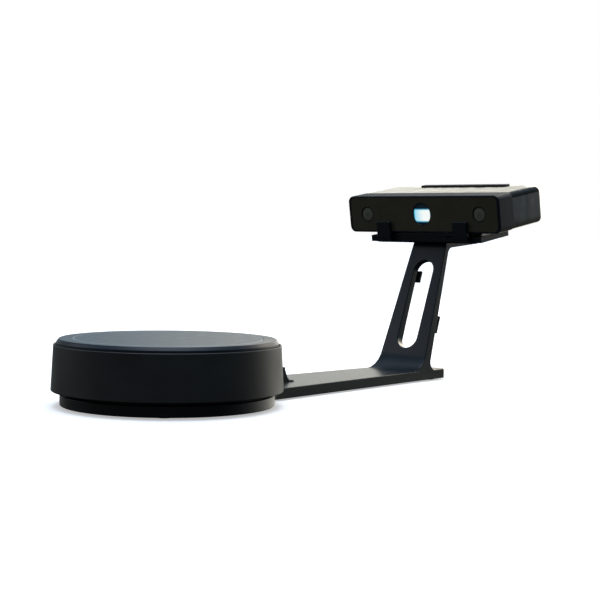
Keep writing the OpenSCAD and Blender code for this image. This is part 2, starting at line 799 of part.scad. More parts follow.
module projector_housing() {
    color("#55585b") at_head() difference() {
        along_x(28, 54) round_rect(46, 30, 3);
        cyl_x(27, 40, projector_r - 4);
        along_x(38, 52) square([38, 22], center = true);
        along_x(50, 55) square([14, 14], center = true);
    }
}

module light_source() {
    color("#e8dfa0") at_head() {
        along_x(54, 55.6) square([20, 20], center = true);
        along_x(52, 54.1) square([6, 6], center = true);
    }
}

module heat_sink() {
    color("#8f9396") at_head() {
        along_x(55.6, 58.6) square([30, 28], center = true);
        for (y = [-13.5:4.5:13.5]) along_x(58.5, 71) translate([y, 0]) square([1.4, 28], center = true);
    }
}

module at_fan() { translate([fan_x, 0, 0]) children(); }

module fan_frame() {
    color(black_plastic) at_head() at_fan() {
        difference() {
            along_x(0, fan_d) round_rect(fan_w, fan_w, 2);
            cyl_x(-1, fan_d + 1, fan_bore);
        }
        cyl_x(6.8, fan_d, 6);
        for (a = [30:120:270]) rotate([a, 0, 0]) translate([6.8, -1, 5]) cube([1.2, 2, fan_bore - 4.5]);
    }
}

module fan_rotor() {
    color("#2c2f31") at_head() at_fan() {
        cyl_x(0.8, 6.4, 6);
        intersection() {
            cyl_x(0.4, 6.6, fan_bore - 0.6);
            for (i = [0:6]) rotate([i * 360 / 7, 0, 0]) translate([3.6, 0, 5.5]) rotate([0, 0, 38])
                translate([-4, -0.5, 0]) cube([8, 1, 10]);
        }
    }
}

module main_board() {
    z = board_z;
    color(board_green) at_head() difference() {
        union() {
            translate([42, 27, z]) cube([42, 66, 1.6]);
            translate([50, 50, z + 1.5]) cube([16, 16, 2.2]);
            translate([54, 74, z + 1.5]) cube([12, 10, 1.8]);
            for (y = [30, 36]) translate([50, y + 2, z + 1.5]) cylinder(h = 7, r = 2.6);
        }
        for (x = [50, 74], y = [40, 88]) translate([x, y, z - 1]) cylinder(h = 4, r = 1 + slip);
    }
}

// Square socket seen from the back of the head
module square_socket(y) {
    color(steel) at_head() difference() {
        translate([75, y - 6, socket_z - 5.3]) cube([cowl_back - 75 - 0.6, 12, 10.6]);
        translate([79, y - 4.3, socket_z - 3.9]) cube([20, 8.6, 7.8]);
    }
}

module data_socket() { square_socket(data_y); }
module link_socket() { square_socket(link_y); }

module power_inlet() {
    color(black_plastic) at_head() translate([0, power_y, socket_z]) difference() {
        cyl_x(74, cowl_back - 0.4, 5.1);
        cyl_x(78, cowl_back + 1, 3.2);
    }
}

module power_button() {
    color("#3d4144") at_head() translate([0, button_y, 0]) {
        cyl_x(head_d - 0.5, cowl_back + 1, button_r);
        cyl_x(head_d - 2.8, head_d - 0.3, button_r + 1.2);
    }
}

module button_spring() {
    color(steel) at_head() translate([head_d - 8, button_y, 0]) rotate([0, 90, 0]) difference() {
        cylinder(h = 3.9, r = 3.4);
        translate([0, 0, -1]) cylinder(h = 6, r = 2.8);
    }
}

module button_switch() {
    color(black_plastic) at_head() translate([0, button_y, 0]) {
        along_x(head_d - 11, head_d - 8) square([9, 9], center = true);
        cyl_x(head_d - 8.1, head_d - 4.1, 1.8);
    }
}

stand();
feet();
base_pan();
tray_screws();
cover();
cover_screws();
platter();
platter_mat();
drive_gear();
gear_screws();
spindle();
bearing_inner_races();
bearing_outer_races();
bearing_balls();
retaining_ring();
glide_pads();
motor_body();
motor_shaft();
pinion();
motor_screws();
turntable_board();
board_screws();
socket_housing();
turntable_socket();
upper_cable_clip();
lower_cable_clip();
clip_screws();
cradle();
cradle_pads();
cradle_screws();
bezel();
front_window();
rear_shell();
head_screws();
rear_cowl();
cowl_screws();
optics_frame();
optics_screws();
left_camera_barrel();
right_camera_barrel();
left_camera_lens();
right_camera_lens();
left_camera_board();
right_camera_board();
projector_barrel();
projector_lens();
projector_housing();
light_source();
heat_sink();
fan_frame();
fan_rotor();
main_board();
power_inlet();
data_socket();
link_socket();
power_button();
button_spring();
button_switch();
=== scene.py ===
"""Desktop scanner with a motor-driven turntable: its finished surfaces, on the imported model's frame.

Sizes are in millimetres in each section, and every mesh is brought to metres as it is placed.
"""
import math

import bmesh
import bpy
from mathutils import Matrix, Vector


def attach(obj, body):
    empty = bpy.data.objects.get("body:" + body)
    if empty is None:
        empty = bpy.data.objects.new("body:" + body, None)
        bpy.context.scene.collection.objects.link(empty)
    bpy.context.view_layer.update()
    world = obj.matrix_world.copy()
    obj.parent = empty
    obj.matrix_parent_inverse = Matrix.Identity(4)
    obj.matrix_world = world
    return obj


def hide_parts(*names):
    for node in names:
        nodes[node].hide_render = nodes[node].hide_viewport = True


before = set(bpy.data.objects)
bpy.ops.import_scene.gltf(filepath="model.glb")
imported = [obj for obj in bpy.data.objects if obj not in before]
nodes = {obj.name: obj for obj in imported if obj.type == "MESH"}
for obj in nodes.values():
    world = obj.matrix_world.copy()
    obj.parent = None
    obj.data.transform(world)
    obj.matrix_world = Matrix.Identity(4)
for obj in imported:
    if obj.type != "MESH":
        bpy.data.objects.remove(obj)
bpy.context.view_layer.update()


# ---- Stand: tray, arm and upright ----------------------------------------------------------
# One aluminium die casting: a round tray, a flat arm that narrows towards the heel, and a
# leaning upright with a cable slot and a tongue under the cradle. It is shot-blasted and
# powder coated, so its edges are soft and its skin has a fine even grain.

METRES = Matrix.Scale(0.001, 4)
TURNTABLE = METRES @ Matrix.Translation((-180, 0, 0))


def linear(colour):
    """A #rrggbb colour as the linear values that a shader works with."""
    parts = [int(colour[i : i + 2], 16) / 255 for i in (1, 3, 5)]
    return [c / 12.92 if c <= 0.04045 else ((c + 0.055) / 1.055) ** 2.4 for c in parts] + [1]


def add(tree, kind, settings=None, **links):
    """Adds a node, sets its values and joins its inputs to other nodes' outputs."""
    node = tree.nodes.new(kind)
    for key, value in (settings or {}).items():
        if key == "stops":
            ramp = node.color_ramp.elements
            while len(ramp) < len(value):
                ramp.new(0.5)
            for stop, (place, colour) in zip(ramp, value):
                stop.position, stop.color = place, linear(colour)
        elif key in node.inputs:
            node.inputs[key].default_value = value
        else:
            setattr(node, key, value)
    for key, source in links.items():
        tree.links.new(source, node.inputs[key.replace("_", " ")])
    return node


def new_finish(name, **values):
    """A material, its node tree, its shader and the place on the object in metres."""
    finish = bpy.data.materials.new(name)
    finish.use_nodes = True
    tree = finish.node_tree
    shader = tree.nodes["Principled BSDF"]
    for key, value in values.items():
        shader.inputs[key.replace("_", " ")].default_value = value
    return finish, tree, shader, add(tree, "ShaderNodeTexCoord").outputs["Object"]


def make(name, bm, finish, body, stands_for=(), place=METRES, crease=32):
    """Turns a finished shape into a piece of the object, in its place."""
    bmesh.ops.transform(bm, matrix=place, verts=bm.verts)
    bmesh.ops.recalc_face_normals(bm, faces=bm.faces)
    mesh = bpy.data.meshes.new(name)
    bm.to_mesh(mesh)
    bm.free()
    mesh.materials.append(finish)
    mesh.shade_smooth()
    mesh.set_sharp_from_angle(angle=math.radians(crease))
    piece = bpy.data.objects.new(name, mesh)
    bpy.context.scene.collection.objects.link(piece)
    shading = piece.modifiers.new("even shading", "WEIGHTED_NORMAL")
    shading.keep_sharp = True
    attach(piece, body)
    if stands_for:
        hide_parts(*stands_for)
    return piece


def join(bm, tool, how):
    """The shape after another shape is added to it, cut from it or kept where both are."""
    parts = []
    for shape in (bm, tool):
        bmesh.ops.recalc_face_normals(shape, faces=shape.faces)
        mesh = bpy.data.meshes.new("shape")
        shape.to_mesh(mesh)
        shape.free()
        parts.append(bpy.data.objects.new("shape", mesh))
        bpy.context.scene.collection.objects.link(parts[-1])
    step = parts[0].modifiers.new("join", "BOOLEAN")
    step.operation, step.solver, step.object = how, "EXACT", parts[1]
    result = bmesh.new()
    result.from_object(parts[0], bpy.context.evaluated_depsgraph_get())
    for part in parts:
        mesh = part.data
        bpy.data.objects.remove(part)
        bpy.data.meshes.remove(mesh)
    return result


def soften(bm, width, steps=3, sharp=35, only=lambda edge: True):
    """Rounds the edges where two faces meet at more than the given angle."""
    edges = [e for e in bm.edges
             if e.is_manifold and e.calc_face_angle() > math.radians(sharp) and only(e)]
    bmesh.ops.bevel(bm, geom=edges, offset=width, offset_type="OFFSET", affect="EDGES",
                    segments=steps, profile=0.5, material=-1, clamp_overlap=False)


def arc(centre, radius, first, last, steps):
    turns = [math.radians(first + (last - first) * i / steps) for i in range(steps + 1)]
    return [(centre[0] + radius * math.cos(a), centre[1] + radius * math.sin(a)) for a in turns]


def crossing(p, a, q, b):
    """Where the line through p at angle a meets the line through q at angle b."""
    a, b = math.radians(a), math.radians(b)
    w = (q[0] - p[0], q[1] - p[1])
    t = (w[0] * math.sin(b) - w[1] * math.cos(b)) / math.sin(b - a)
    return p[0] + t * math.cos(a), p[1] + t * math.sin(a)


def inside_corner(p, a1, a2, radius, steps=14):
    """The arc that rounds the corner p between edges that leave it at angles a1 and a2."""
    half, middle = math.radians((a2 - a1) / 2), math.radians((a1 + a2) / 2)
    reach = radius / math.sin(half)
    centre = (p[0] + reach * math.cos(middle), p[1] + reach * math.sin(middle))
    return arc(centre, radius, a1 - 90, a2 - 270, steps)


def prism(bm, points, along):
    """A solid whose end face has the given 3-D corners and whose length is the given vector."""
    face = bm.faces.new([bm.verts.new(p) for p in points])
    grown = bmesh.ops.extrude_face_region(bm, geom=[face])["geom"]
    bmesh.ops.translate(bm, verts=[v for v in grown if isinstance(v, bmesh.types.BMVert)], vec=along)
    return bm


def rod(bm, radius, length, place, sides=48):
    """A round rod along its own Z from 0 to its length."""
    bmesh.ops.create_cone(bm, cap_ends=True, segments=sides, radius1=radius, radius2=radius,
                          depth=length, matrix=place @ Matrix.Translation((0, 0, length / 2)))
    return bm


foot_h = 1.5
arm_top = 11.6
tray_r = 97
foot_x = 340.5
lean = 20.5
head_x, head_z, head_tilt = 375.1058, 179.5, 9.4
tilt = math.radians(head_tilt)
# The head's own frame: x backwards from the middle of its front face, z up, both tilted
HEAD_ON_STAND = Matrix.Translation((head_x, 0, head_z)) @ Matrix.Rotation(-tilt, 4, "Y")
HEAD = TURNTABLE @ HEAD_ON_STAND

flare_angle = 34.9
flare_c = (121 * math.cos(math.radians(flare_angle)), 121 * math.sin(math.radians(flare_angle)))
side = (arc((0, 0), tray_r, 180, flare_angle, 90)
        + arc(flare_c, 24, flare_angle + 180, 266, 14)[1:]
        + [(foot_x, 31.6)]
        + arc((379.4, 25.3), 5, 90, 0, 8))
outline = side + [(x, -y) for x, y in reversed(side[1:])]
casting = prism(bmesh.new(), [(x, y, foot_h) for x, y in outline], (0, 0, arm_top - foot_h))
soften(casting, 0.9, 3, 60)

front = (foot_x, arm_top)
back_foot = (352.65, arm_top)
plate_low = -31.2
slip = 0.02  # clearance between fixed parts that touch
under_plate = plate_low - slip
plate_edge = (head_x - under_plate * math.sin(tilt), head_z + under_plate * math.cos(tilt))
tongue_end = (452, 148)
profile = ([(foot_x - 20, arm_top - 4)]
           + inside_corner(front, 90 - lean, 180, 26)[::-1]
           + [crossing(front, 90 - lean, plate_edge, head_tilt),
              crossing((452, 0), 90, plate_edge, head_tilt), tongue_end]
           + inside_corner(crossing(back_foot, 71.4, tongue_end, 5.1), 71.4 - 180, 5.1, 9)[::-1]
           + inside_corner(back_foot, 0, 71.4, 8)[::-1]
           + [(372, arm_top - 4)])
upright = prism(bmesh.new(), [(x, -1, z) for x, z in profile], (0, 2, 0))
for v in upright.verts:
    v.co.y *= 31.6 - (31.6 - 22.5) * (v.co.z - arm_top) / (149 - arm_top)

slot_w, slot_low, slot_length = 12.9, 37.4, 75.4
slot = bmesh.new()
bmesh.ops.create_circle(slot, cap_ends=True, segments=72, radius=slot_w)
bmesh.ops.translate(slot, verts=[v for v in slot.verts if v.co.y > -0.01], vec=(0, slot_length, 0))
bmesh.ops.translate(slot, verts=slot.verts, vec=(0, slot_low, -30))
through = bmesh.ops.extrude_face_region(slot, geom=slot.faces[:])["geom"]
bmesh.ops.translate(slot, verts=[v for v in through if isinstance(v, bmesh.types.BMVert)],
                    vec=(0, 0, 55))
# The slot's own frame has its width on X, its length on Y and its depth on Z
on_front = Matrix(((0, 0, -1, 0), (1, 0, 0, 0), (0, 1, 0, 0), (0, 0, 0, 1)))
bmesh.ops.transform(slot, verts=slot.verts,
                    matrix=Matrix.Translation((foot_x, 0, arm_top))
                    @ Matrix.Rotation(math.radians(lean), 4, "Y") @ on_front)
upright = join(upright, slot, "DIFFERENCE")
soften(upright, 0.9, 3, 35, lambda e: all(v.co.z > arm_top - 3 for v in e.verts))
casting = join(casting, upright, "UNION")

recess_r, recess_floor = 90, 5
hollows = rod(bmesh.new(), recess_r, 20, Matrix.Translation((0, 0, recess_floor)), 180)
for turn in range(4):
    x, y = 66 * math.cos(turn * math.pi / 2), 66 * math.sin(turn * math.pi / 2)
    rod(hollows, 3, 3, Matrix.Translation((x, y, 0.7)))
for y in (-11, 11):
    rod(hollows, 4.2, 24, HEAD_ON_STAND @ Matrix.Translation((46, y, -60)))
casting = join(casting, hollows, "DIFFERENCE")

# Powder coat over a casting: an even satin skin with a fine orange-peel grain, about 0.8 mm
# between bumps, a cool blue-black colour that is a little paler where it is rubbed
powder_coat, tree, shader, spot = new_finish("fine-grain powder coat", Roughness=0.42, IOR=1.5)
cloud = add(tree, "ShaderNodeTexNoise", {"Scale": 1 / 0.035, "Detail": 3}, Vector=spot)
tint = add(tree, "ShaderNodeValToRGB", {"stops": [(0.3, "#08131a"), (0.7, "#0e1b24")]},
           Fac=cloud.outputs["Fac"])
grain = add(tree, "ShaderNodeTexNoise", {"Scale": 1 / 0.0008, "Detail": 2, "Roughness": 0.6},
            Vector=spot)
satin = add(tree, "ShaderNodeMapRange", {"From Min": 0.3, "From Max": 0.7, "To Min": 0.31,
                                         "To Max": 0.41}, Value=grain.outputs["Fac"])
bumps = add(tree, "ShaderNodeBump", {"Strength": 0.35, "Distance": 0.00006},
            Height=grain.outputs["Fac"])
tree.links.new(tint.outputs["Color"], shader.inputs["Base Color"])
tree.links.new(satin.outputs["Result"], shader.inputs["Roughness"])
tree.links.new(bumps.outputs["Normal"], shader.inputs["Normal"])
make("stand_casting", casting, powder_coat, "base", ["stand"], TURNTABLE)


# ---- Cover of the turntable ----------------------------------------------------------------
# A deep ring moulded in black ABS, wider at its foot, with a deck inside that carries the
# motor. It is screwed up from below through four posts, and hangs a little clear of the tray.

def turned(points, steps, centre=(0, 0, 0), axis=(0, 0, 1), closed=True):
    """Spins a profile of [radius, height] points round a vertical axis into a solid."""
    bm = bmesh.new()
    line = [bm.verts.new((r, 0, z)) for r, z in points]
    edges = [bm.edges.new(pair) for pair in zip(line, line[1:] + line[:1] if closed else line[1:])]
    bmesh.ops.spin(bm, geom=line + edges, cent=centre, axis=axis, angle=2 * math.pi, steps=steps,
                   use_merge=True)
    bmesh.ops.remove_doubles(bm, verts=bm.verts, dist=0.001)
    return bm


cover_z, cover_top, deck_z = 14.8, 56.3, 44
cover = turned([(105, cover_z), (102.8, cover_top), (101, cover_top), (100.4, deck_z + 2.5),
                (20, deck_z + 2.5), (20, deck_z), (100.2, deck_z), (102.6, cover_z)], 180)
soften(cover, 0.7, 4, 40, lambda e: all(v.co.xy.length > 100 for v in e.verts))
cutters = rod(bmesh.new(), 11.2, 10, Matrix.Translation((-69, 0, deck_z - 4)))
cover = join(cover, cutters, "DIFFERENCE")
for turn in (45, 135, 225, 315):
    a = math.radians(turn)
    rod(cover, 4, deck_z - 8, Matrix.Translation((78 * math.cos(a), 78 * math.sin(a), 8.05)), 32)

# ABS from a spark-eroded mould: a dull charcoal skin with a fine even pit about 0.7 mm
# across, and faint clouds where it has been handled
moulded_abs, tree, shader, spot = new_finish("spark-textured black ABS", IOR=1.5)
cloud = add(tree, "ShaderNodeTexNoise", {"Scale": 1 / 0.03, "Detail": 4}, Vector=spot)
pits = add(tree, "ShaderNodeTexVoronoi", {"Scale": 1 / 0.0007, "feature": "SMOOTH_F1"}, Vector=spot)
tint = add(tree, "ShaderNodeValToRGB", {"stops": [(0.35, "#282b2a"), (0.7, "#313433")]},
           Fac=cloud.outputs["Fac"])
dull = add(tree, "ShaderNodeMapRange", {"From Min": 0.3, "From Max": 0.75, "To Min": 0.42,
                                        "To Max": 0.54}, Value=cloud.outputs["Fac"])
bumps = add(tree, "ShaderNodeBump", {"Strength": 0.3, "Distance": 0.00005},
            Height=pits.outputs["Distance"])
tree.links.new(tint.outputs["Color"], shader.inputs["Base Color"])
tree.links.new(dull.outputs["Result"], shader.inputs["Roughness"])
tree.links.new(bumps.outputs["Normal"], shader.inputs["Normal"])
make("turntable_cover", cover, moulded_abs, "base", ["cover"], TURNTABLE)


# ---- Platter and its mat -------------------------------------------------------------------
# The platter is a round ABS moulding with a bevelled rim, on a hub that runs on two ball
# bearings. A thin rubber disc is let into its top and leaves a fine groove round its edge.

platter_top = 61.3
platter = turned([(0, 57.3), (96.2, 57.3), (96.2, 53.3), (100.2, 53.3), (100.2, 58.3),
                  (98.2, 61.1), (97.7, platter_top), (86.5, platter_top), (86.5, 60.3), (0, 60.3)],
                 180, closed=False)
soften(platter, 0.25, 2, 30, lambda e: all(v.co.xy.length > 86.2 and v.co.z > 58 for v in e.verts))
hub = turned([(18, 30), (18, 57.8), (13.5, 57.8), (15.02, 48.1), (15.02, 42), (13.5, 41.9),
              (13.5, 36.1), (15.02, 36), (15.02, 30)], 96)
for turn in (45, 135, 225, 315):
    a = math.radians(turn)
    rod(hub, 4, 3.8, Matrix.Translation((30 * math.cos(a), 30 * math.sin(a), 54)), 32)

# Smooth ABS with a soft satin skin: blue-black, with a faint turned lay about 1.5 mm apart
# that catches light in rings, as the flow of the moulding does
platter_abs, tree, shader, spot = new_finish("satin blue-black ABS", IOR=1.5)
centred = add(tree, "ShaderNodeMapping", {"Location": (0.18, 0, 0)}, Vector=spot)
lay = add(tree, "ShaderNodeTexWave", {"wave_type": "RINGS", "rings_direction": "Z",
                                      "Scale": math.tau / 20 / 0.0015, "Distortion": 0.4,
                                      "Detail": 2, "Detail Scale": 1},
          Vector=centred.outputs["Vector"])
cloud = add(tree, "ShaderNodeTexNoise", {"Scale": 1 / 0.025, "Detail": 4}, Vector=spot)
tint = add(tree, "ShaderNodeValToRGB", {"stops": [(0.3, "#16222d"), (0.7, "#1b2834")]},
           Fac=cloud.outputs["Fac"])
sheen = add(tree, "ShaderNodeMapRange", {"From Min": 0.3, "From Max": 0.7, "To Min": 0.36,
                                         "To Max": 0.42}, Value=cloud.outputs["Fac"])
bumps = add(tree, "ShaderNodeBump", {"Strength": 0.05, "Distance": 0.00003},
            Height=lay.outputs["Fac"])
tree.links.new(tint.outputs["Color"], shader.inputs["Base Color"])
tree.links.new(sheen.outputs["Result"], shader.inputs["Roughness"])
tree.links.new(bumps.outputs["Normal"], shader.inputs["Normal"])
make("platter_disc", platter, platter_abs, "platter", ["platter"], TURNTABLE)
make("platter_hub", hub, platter_abs, "platter", ["platter"], TURNTABLE)

mat = turned([(0, 60.35), (86, 60.35), (86, 61.1), (85.7, platter_top), (0, platter_top)], 180,
             closed=False)

# Rubber sheet with a fine ground face: slightly duller and greyer than the platter, with a
# grain of about 0.9 mm and a few pale scuffs from the objects stood on it
ground_rubber, tree, shader, spot = new_finish("ground rubber sheet", IOR=1.5)
cloud = add(tree, "ShaderNodeTexNoise", {"Scale": 1 / 0.012, "Detail": 6, "Roughness": 0.65},
            Vector=spot)
grain = add(tree, "ShaderNodeTexNoise", {"Scale": 1 / 0.0009, "Detail": 2}, Vector=spot)
tint = add(tree, "ShaderNodeValToRGB", {"stops": [(0.3, "#1c2833"), (0.62, "#202d39"),
                                                  (0.8, "#26333f")]}, Fac=cloud.outputs["Fac"])
dull = add(tree, "ShaderNodeMapRange", {"From Min": 0.3, "From Max": 0.75, "To Min": 0.37,
                                        "To Max": 0.44}, Value=cloud.outputs["Fac"])
bumps = add(tree, "ShaderNodeBump", {"Strength": 0.2, "Distance": 0.00004},
            Height=grain.outputs["Fac"])
# A pale ring about 1.2 mm wide along the sheet's turned edge: a painted highlight where the edge
# catches the light
outward = add(tree, "ShaderNodeMapping", {"Location": (0.18, 0, 0), "Scale": (1, 1, 0)}, Vector=spot)
radius = add(tree, "ShaderNodeVectorMath", {"operation": "LENGTH"})
tree.links.new(outward.outputs["Vector"], radius.inputs[0])
painted_edge_highlight = add(tree, "ShaderNodeMapRange", {"From Min": 0.0843, "From Max": 0.0849},
             Value=radius.outputs["Value"])
tint = add(tree, "ShaderNodeMixRGB", {"Color2": linear("#84929b")}, Fac=painted_edge_highlight.outputs["Result"],
           Color1=tint.outputs["Color"])
tree.links.new(tint.outputs["Color"], shader.inputs["Base Color"])
tree.links.new(dull.outputs["Result"], shader.inputs["Roughness"])
tree.links.new(bumps.outputs["Normal"], shader.inputs["Normal"])
make("platter_mat_disc", mat, ground_rubber, "platter", ["platter_mat"], TURNTABLE)


# ---- Bezel of the scan head ----------------------------------------------------------------
# A matt frame round the front of the head, moulded in ABS with round corners. The dark front
# panel is glued into its rebate, and the glossy rear shell meets it at an open seam.

def ring(bm, depth, width, height, radius, steps=8):
    """A rounded rectangle of edges across the head, at a depth behind the front face."""
    made = bmesh.ops.create_grid(bm, x_segments=1, y_segments=1, size=0.5)["verts"]
    bmesh.ops.scale(bm, verts=made, vec=(width, height, 1))
    lay_across = Matrix(((0, 0, 1, depth), (1, 0, 0, 0), (0, 1, 0, 0), (0, 0, 0, 1)))
    bmesh.ops.transform(bm, matrix=lay_across, verts=made)
    bmesh.ops.bevel(bm, geom=made, offset=radius, offset_type="OFFSET", affect="VERTICES",
                    segments=steps, profile=0.5, material=-1, clamp_overlap=False)
    edges = [e for face in bm.faces for e in face.edges]
    bmesh.ops.delete(bm, geom=bm.faces[:], context="FACES_ONLY")
    return edges


def skin(bm, rings, closed=False, caps=(False, False)):
    """Joins rounded rectangles, one behind the other, into the wall of a moulding."""
    loops = [ring(bm, *r) for r in rings]
    for near, far in zip(loops, loops[1:]):
        bmesh.ops.bridge_loops(bm, edges=near + far)
    if closed:
        bmesh.ops.bridge_loops(bm, edges=loops[-1] + loops[0])
    for loop, wanted in ((loops[0], caps[0]), (loops[-1], caps[1])):
        if wanted:
            bmesh.ops.edgeloop_fill(bm, edges=loop)
    return bm


head_w, head_h = 205.6, 40.9
bezel = skin(bmesh.new(), [
    (26, head_w, head_h, 7), (1, head_w, head_h, 7), (0.3, head_w - 0.6, head_h - 0.6, 6.7),
    (0, head_w - 2, head_h - 2, 6), (0.02, 199.6, 38.2, 5.9), (0.3, 198.9, 37.5, 5.8),
    (2.5, 198.9, 37.5, 5.8), (2.52, 180, 29.9, 3), (4.5, 180, 29.9, 3), (4.52, 200.6, 35.9, 4.5),
    (25.98, 200.6, 35.9, 4.5)], closed=True)

# ABS with a matt lacquer: blue-black, without gloss, with a fine grain of about 0.6 mm
matt_abs, tree, shader, spot = new_finish("matt blue-black lacquered ABS", IOR=1.5,
                                            Specular_IOR_Level=0.25)
cloud = add(tree, "ShaderNodeTexNoise", {"Scale": 1 / 0.02, "Detail": 3}, Vector=spot)
grain = add(tree, "ShaderNodeTexNoise", {"Scale": 1 / 0.0006, "Detail": 2}, Vector=spot)
tint = add(tree, "ShaderNodeValToRGB", {"stops": [(0.3, "#121b27"), (0.7, "#182432")]},
           Fac=cloud.outputs["Fac"])
dull = add(tree, "ShaderNodeMapRange", {"To Min": 0.4, "To Max": 0.5}, Value=grain.outputs["Fac"])
bumps = add(tree, "ShaderNodeBump", {"Strength": 0.25, "Distance": 0.00004},
            Height=grain.outputs["Fac"])
tree.links.new(tint.outputs["Color"], shader.inputs["Base Color"])
tree.links.new(dull.outputs["Result"], shader.inputs["Roughness"])
tree.links.new(bumps.outputs["Normal"], shader.inputs["Normal"])
make("head_bezel", bezel, matt_abs, "head", ["bezel"], HEAD)


# ---- Front panel ---------------------------------------------------------------------------
# A flat panel of black acrylic, polished, cut through for the two cameras and the projector.

camera_y, camera_r, projector_r = 76.3, 8.5, 12.4
panel = skin(bmesh.new(), [(2.5, 198.8, 37.4, 5.75), (0.35, 198.8, 37.4, 5.75),
                           (0.1, 198.3, 36.9, 5.5)], caps=(True, True))
along = Matrix.Rotation(math.radians(90), 4, "Y")
cutters = bmesh.new()
for y, radius in ((-camera_y, camera_r + 0.1), (0, projector_r + 0.1), (camera_y, camera_r + 0.1)):
    rod(cutters, radius, 6, Matrix.Translation((-2, y, 0)) @ along, 72)
panel = join(panel, cutters, "DIFFERENCE")

# Polished acrylic: nearly black, with a hint of olive painted into its base colour as a painted
# reflection of the warm room, mirror-smooth but for a faint haze of finger marks about 20 mm across
black_acrylic_painted_reflection, tree, shader, spot = new_finish("polished acrylic with painted reflection", IOR=1.49)
marks = add(tree, "ShaderNodeTexNoise", {"Scale": 1 / 0.02, "Detail": 6, "Roughness": 0.65},
            Vector=spot)
# Painted reflection: the olive base colour, mottled by the finger marks
tint = add(tree, "ShaderNodeValToRGB", {"stops": [(0.35, "#524f40"), (0.7, "#5a5746")]},
           Fac=marks.outputs["Fac"])
haze = add(tree, "ShaderNodeMapRange", {"From Min": 0.4, "From Max": 0.75, "To Min": 0.05,
                                        "To Max": 0.14}, Value=marks.outputs["Fac"])
tree.links.new(tint.outputs["Color"], shader.inputs["Base Color"])
tree.links.new(haze.outputs["Result"], shader.inputs["Roughness"])
make("front_panel", panel, black_acrylic_painted_reflection, "head", ["front_window"], HEAD)


# ---- Cameras -------------------------------------------------------------------------------
# Each camera is a black anodised barrel with a coated lens pressed into it, just behind the
# panel. The lens has a shallow dome, close under the panel's face.

def turned_along(points, y, steps=64, closed=True):
    """Spins a profile of [depth, radius] points round an axis that runs into the head."""
    bm = bmesh.new()
    line = [bm.verts.new((u, y, r)) for u, r in points]
    edges = [bm.edges.new(pair) for pair in zip(line, line[1:] + line[:1] if closed else line[1:])]
    bmesh.ops.spin(bm, geom=line + edges, cent=(0, y, 0), axis=(1, 0, 0), angle=2 * math.pi,
                   steps=steps, use_merge=True)
    bmesh.ops.remove_doubles(bm, verts=bm.verts, dist=0.001)
    return bm


# Anodised aluminium: a dull black skin on metal with fine turning marks about 0.3 mm apart
black_anodised, tree, shader, spot = new_finish("black anodised aluminium", Metallic=0.6)
lathe = add(tree, "ShaderNodeTexNoise", {"Scale": 1 / 0.0003, "Detail": 1}, Vector=spot)
tint = add(tree, "ShaderNodeValToRGB", {"stops": [(0.3, "#1c1c1a"), (0.7, "#2a2a27")]},
           Fac=lathe.outputs["Fac"])
dull = add(tree, "ShaderNodeMapRange", {"To Min": 0.3, "To Max": 0.45}, Value=lathe.outputs["Fac"])
tree.links.new(tint.outputs["Color"], shader.inputs["Base Color"])
tree.links.new(dull.outputs["Result"], shader.inputs["Roughness"])

for name, y in (("left", camera_y), ("right", -camera_y)):
    barrel = turned_along([(12, 8.5), (0.4, 8.5), (0.2, 8.3), (0.2, 8), (0.6, 7.6), (5, 7.4),
                           (5.2, 6.4), (12, 6.2)], y)
    make(name + "_camera_ring", barrel, black_anodised, "head",
         [name + "_camera_barrel"], HEAD)
    lens = turned_along([(0.35, 0), (0.4, 2), (0.5, 4), (0.65, 6), (0.8, 7.35), (4, 7.35), (4, 0)],
                        y, closed=False)

    # Coated glass over a dark barrel, smooth. Its face is painted olive-grey as a painted reflection of
    # the coating,
    #     a little darker in the middle and at the rim
    coated_glass_painted_reflection, tree, shader, spot = new_finish(name + " lens glass with painted reflection", IOR=1.52, Roughness=0.12)
    offset = HEAD @ Vector((1, y, 0))
    centred = add(tree, "ShaderNodeMapping", {"Location": tuple(-offset)}, Vector=spot)
    distance = add(tree, "ShaderNodeVectorMath", {"operation": "LENGTH"})
    tree.links.new(centred.outputs["Vector"], distance.inputs[0])
    from_middle = add(tree, "ShaderNodeMapRange", {"From Min": 0, "From Max": 0.0074},
                      Value=distance.outputs["Value"])
    # Painted reflection: olive-grey base colour, set by distance from the lens's middle
    tint = add(tree, "ShaderNodeValToRGB", {"stops": [(0.1, "#6e6d61"), (0.45, "#84826f"),
                                                      (0.8, "#8b897a"), (1.0, "#6a695d")]},
               Fac=from_middle.outputs["Result"])
    tree.links.new(tint.outputs["Color"], shader.inputs["Base Color"])
    make(name + "_camera_glass", lens, coated_glass_painted_reflection, "head",
         [name + "_camera_lens"], HEAD)


# ---- Projector -----------------------------------------------------------------------------
# A wide lens in a black barrel. The light behind it fills a window with a straight left side
# and a round right side, bright white in the middle and cyan at its edges.

barrel = turned_along([(12, 12.4), (0.4, 12.4), (0.2, 12.2), (0.2, 11.9), (0.7, 11.5), (6, 11.3),
                       (6.2, 9.4), (12, 9.2)], 0, 96)
make("projector_ring", barrel, black_anodised, "head", ["projector_barrel"], HEAD)
lens = turned_along([(0.35, 0), (0.4, 3), (0.55, 6), (0.75, 9), (1.0, 11.25), (5, 11.25), (5, 0)], 0,
                    96, closed=False)

